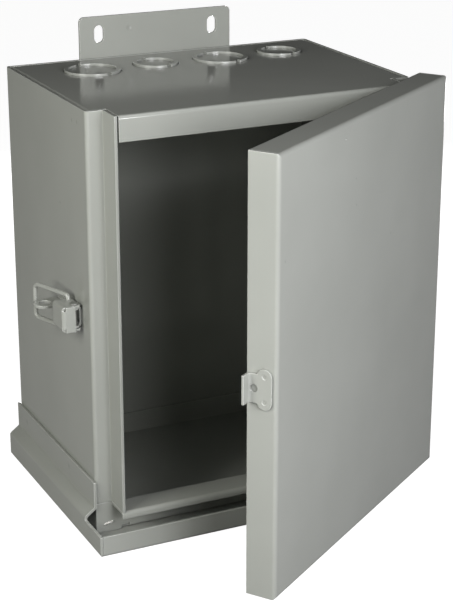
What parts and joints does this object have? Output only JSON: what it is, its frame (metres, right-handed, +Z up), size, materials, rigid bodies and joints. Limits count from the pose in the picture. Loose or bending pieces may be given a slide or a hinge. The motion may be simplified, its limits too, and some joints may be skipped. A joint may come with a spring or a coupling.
{
  "type": "electrical enclosure",
  "caption": "Wall-mount sheet steel enclosure with a hinged pan door, a draw latch on the side, concentric knockouts in one end, a slotted flange and a drip hood round the other end.",
  "frame": {"origin": "middle of the flat underside of the drip hood, on which the enclosure stands", "axes": "+X across the front towards the hinge, +Y from the door to the back, +Z up from the hood to the knockout end"},
  "size_m": [0.2363, 0.2658, 0.2796],
  "materials": {
    "grey_paint": "semi-gloss light grey powder coat on sheet steel",
    "zinc_steel": "dull zinc-plated steel"
  },
  "bodies": {
    "enclosure": {"body_shell": "grey_paint", "knockout_end": "grey_paint", "mounting_flange": "grey_paint", "drip_hood": "grey_paint", "sill": "grey_paint", "hinge_body_leaf": "grey_paint", "hinge_pin": "zinc_steel", "latch_base": "grey_paint", "latch_pin": "zinc_steel"},
    "door": {"door": "grey_paint", "hinge_door_leaf": "grey_paint", "keeper": "grey_paint"},
    "lever": {"latch_lever": "grey_paint"},
    "bail": {"latch_bail": "grey_paint"}
  },
  "joints": [
    {"name": "door_hinge", "type": "hinge", "parent": "enclosure", "child": "door", "pos_m": [0.1049, -0.0517, 0.13], "axis": [0, 0, 1], "range_deg": [-34.6, 145]},
    {"name": "lever_pivot", "type": "hinge", "parent": "enclosure", "child": "lever", "pos_m": [-0.106, -0.0382, 0.133], "axis": [0, 0, 1], "range_deg": [0, 80]},
    {"name": "bail_pivot", "type": "hinge", "parent": "lever", "child": "bail", "pos_m": [-0.106, -0.0287, 0.133], "axis": [0, 0, 1], "range_deg": [-14, 95]}
  ]
}
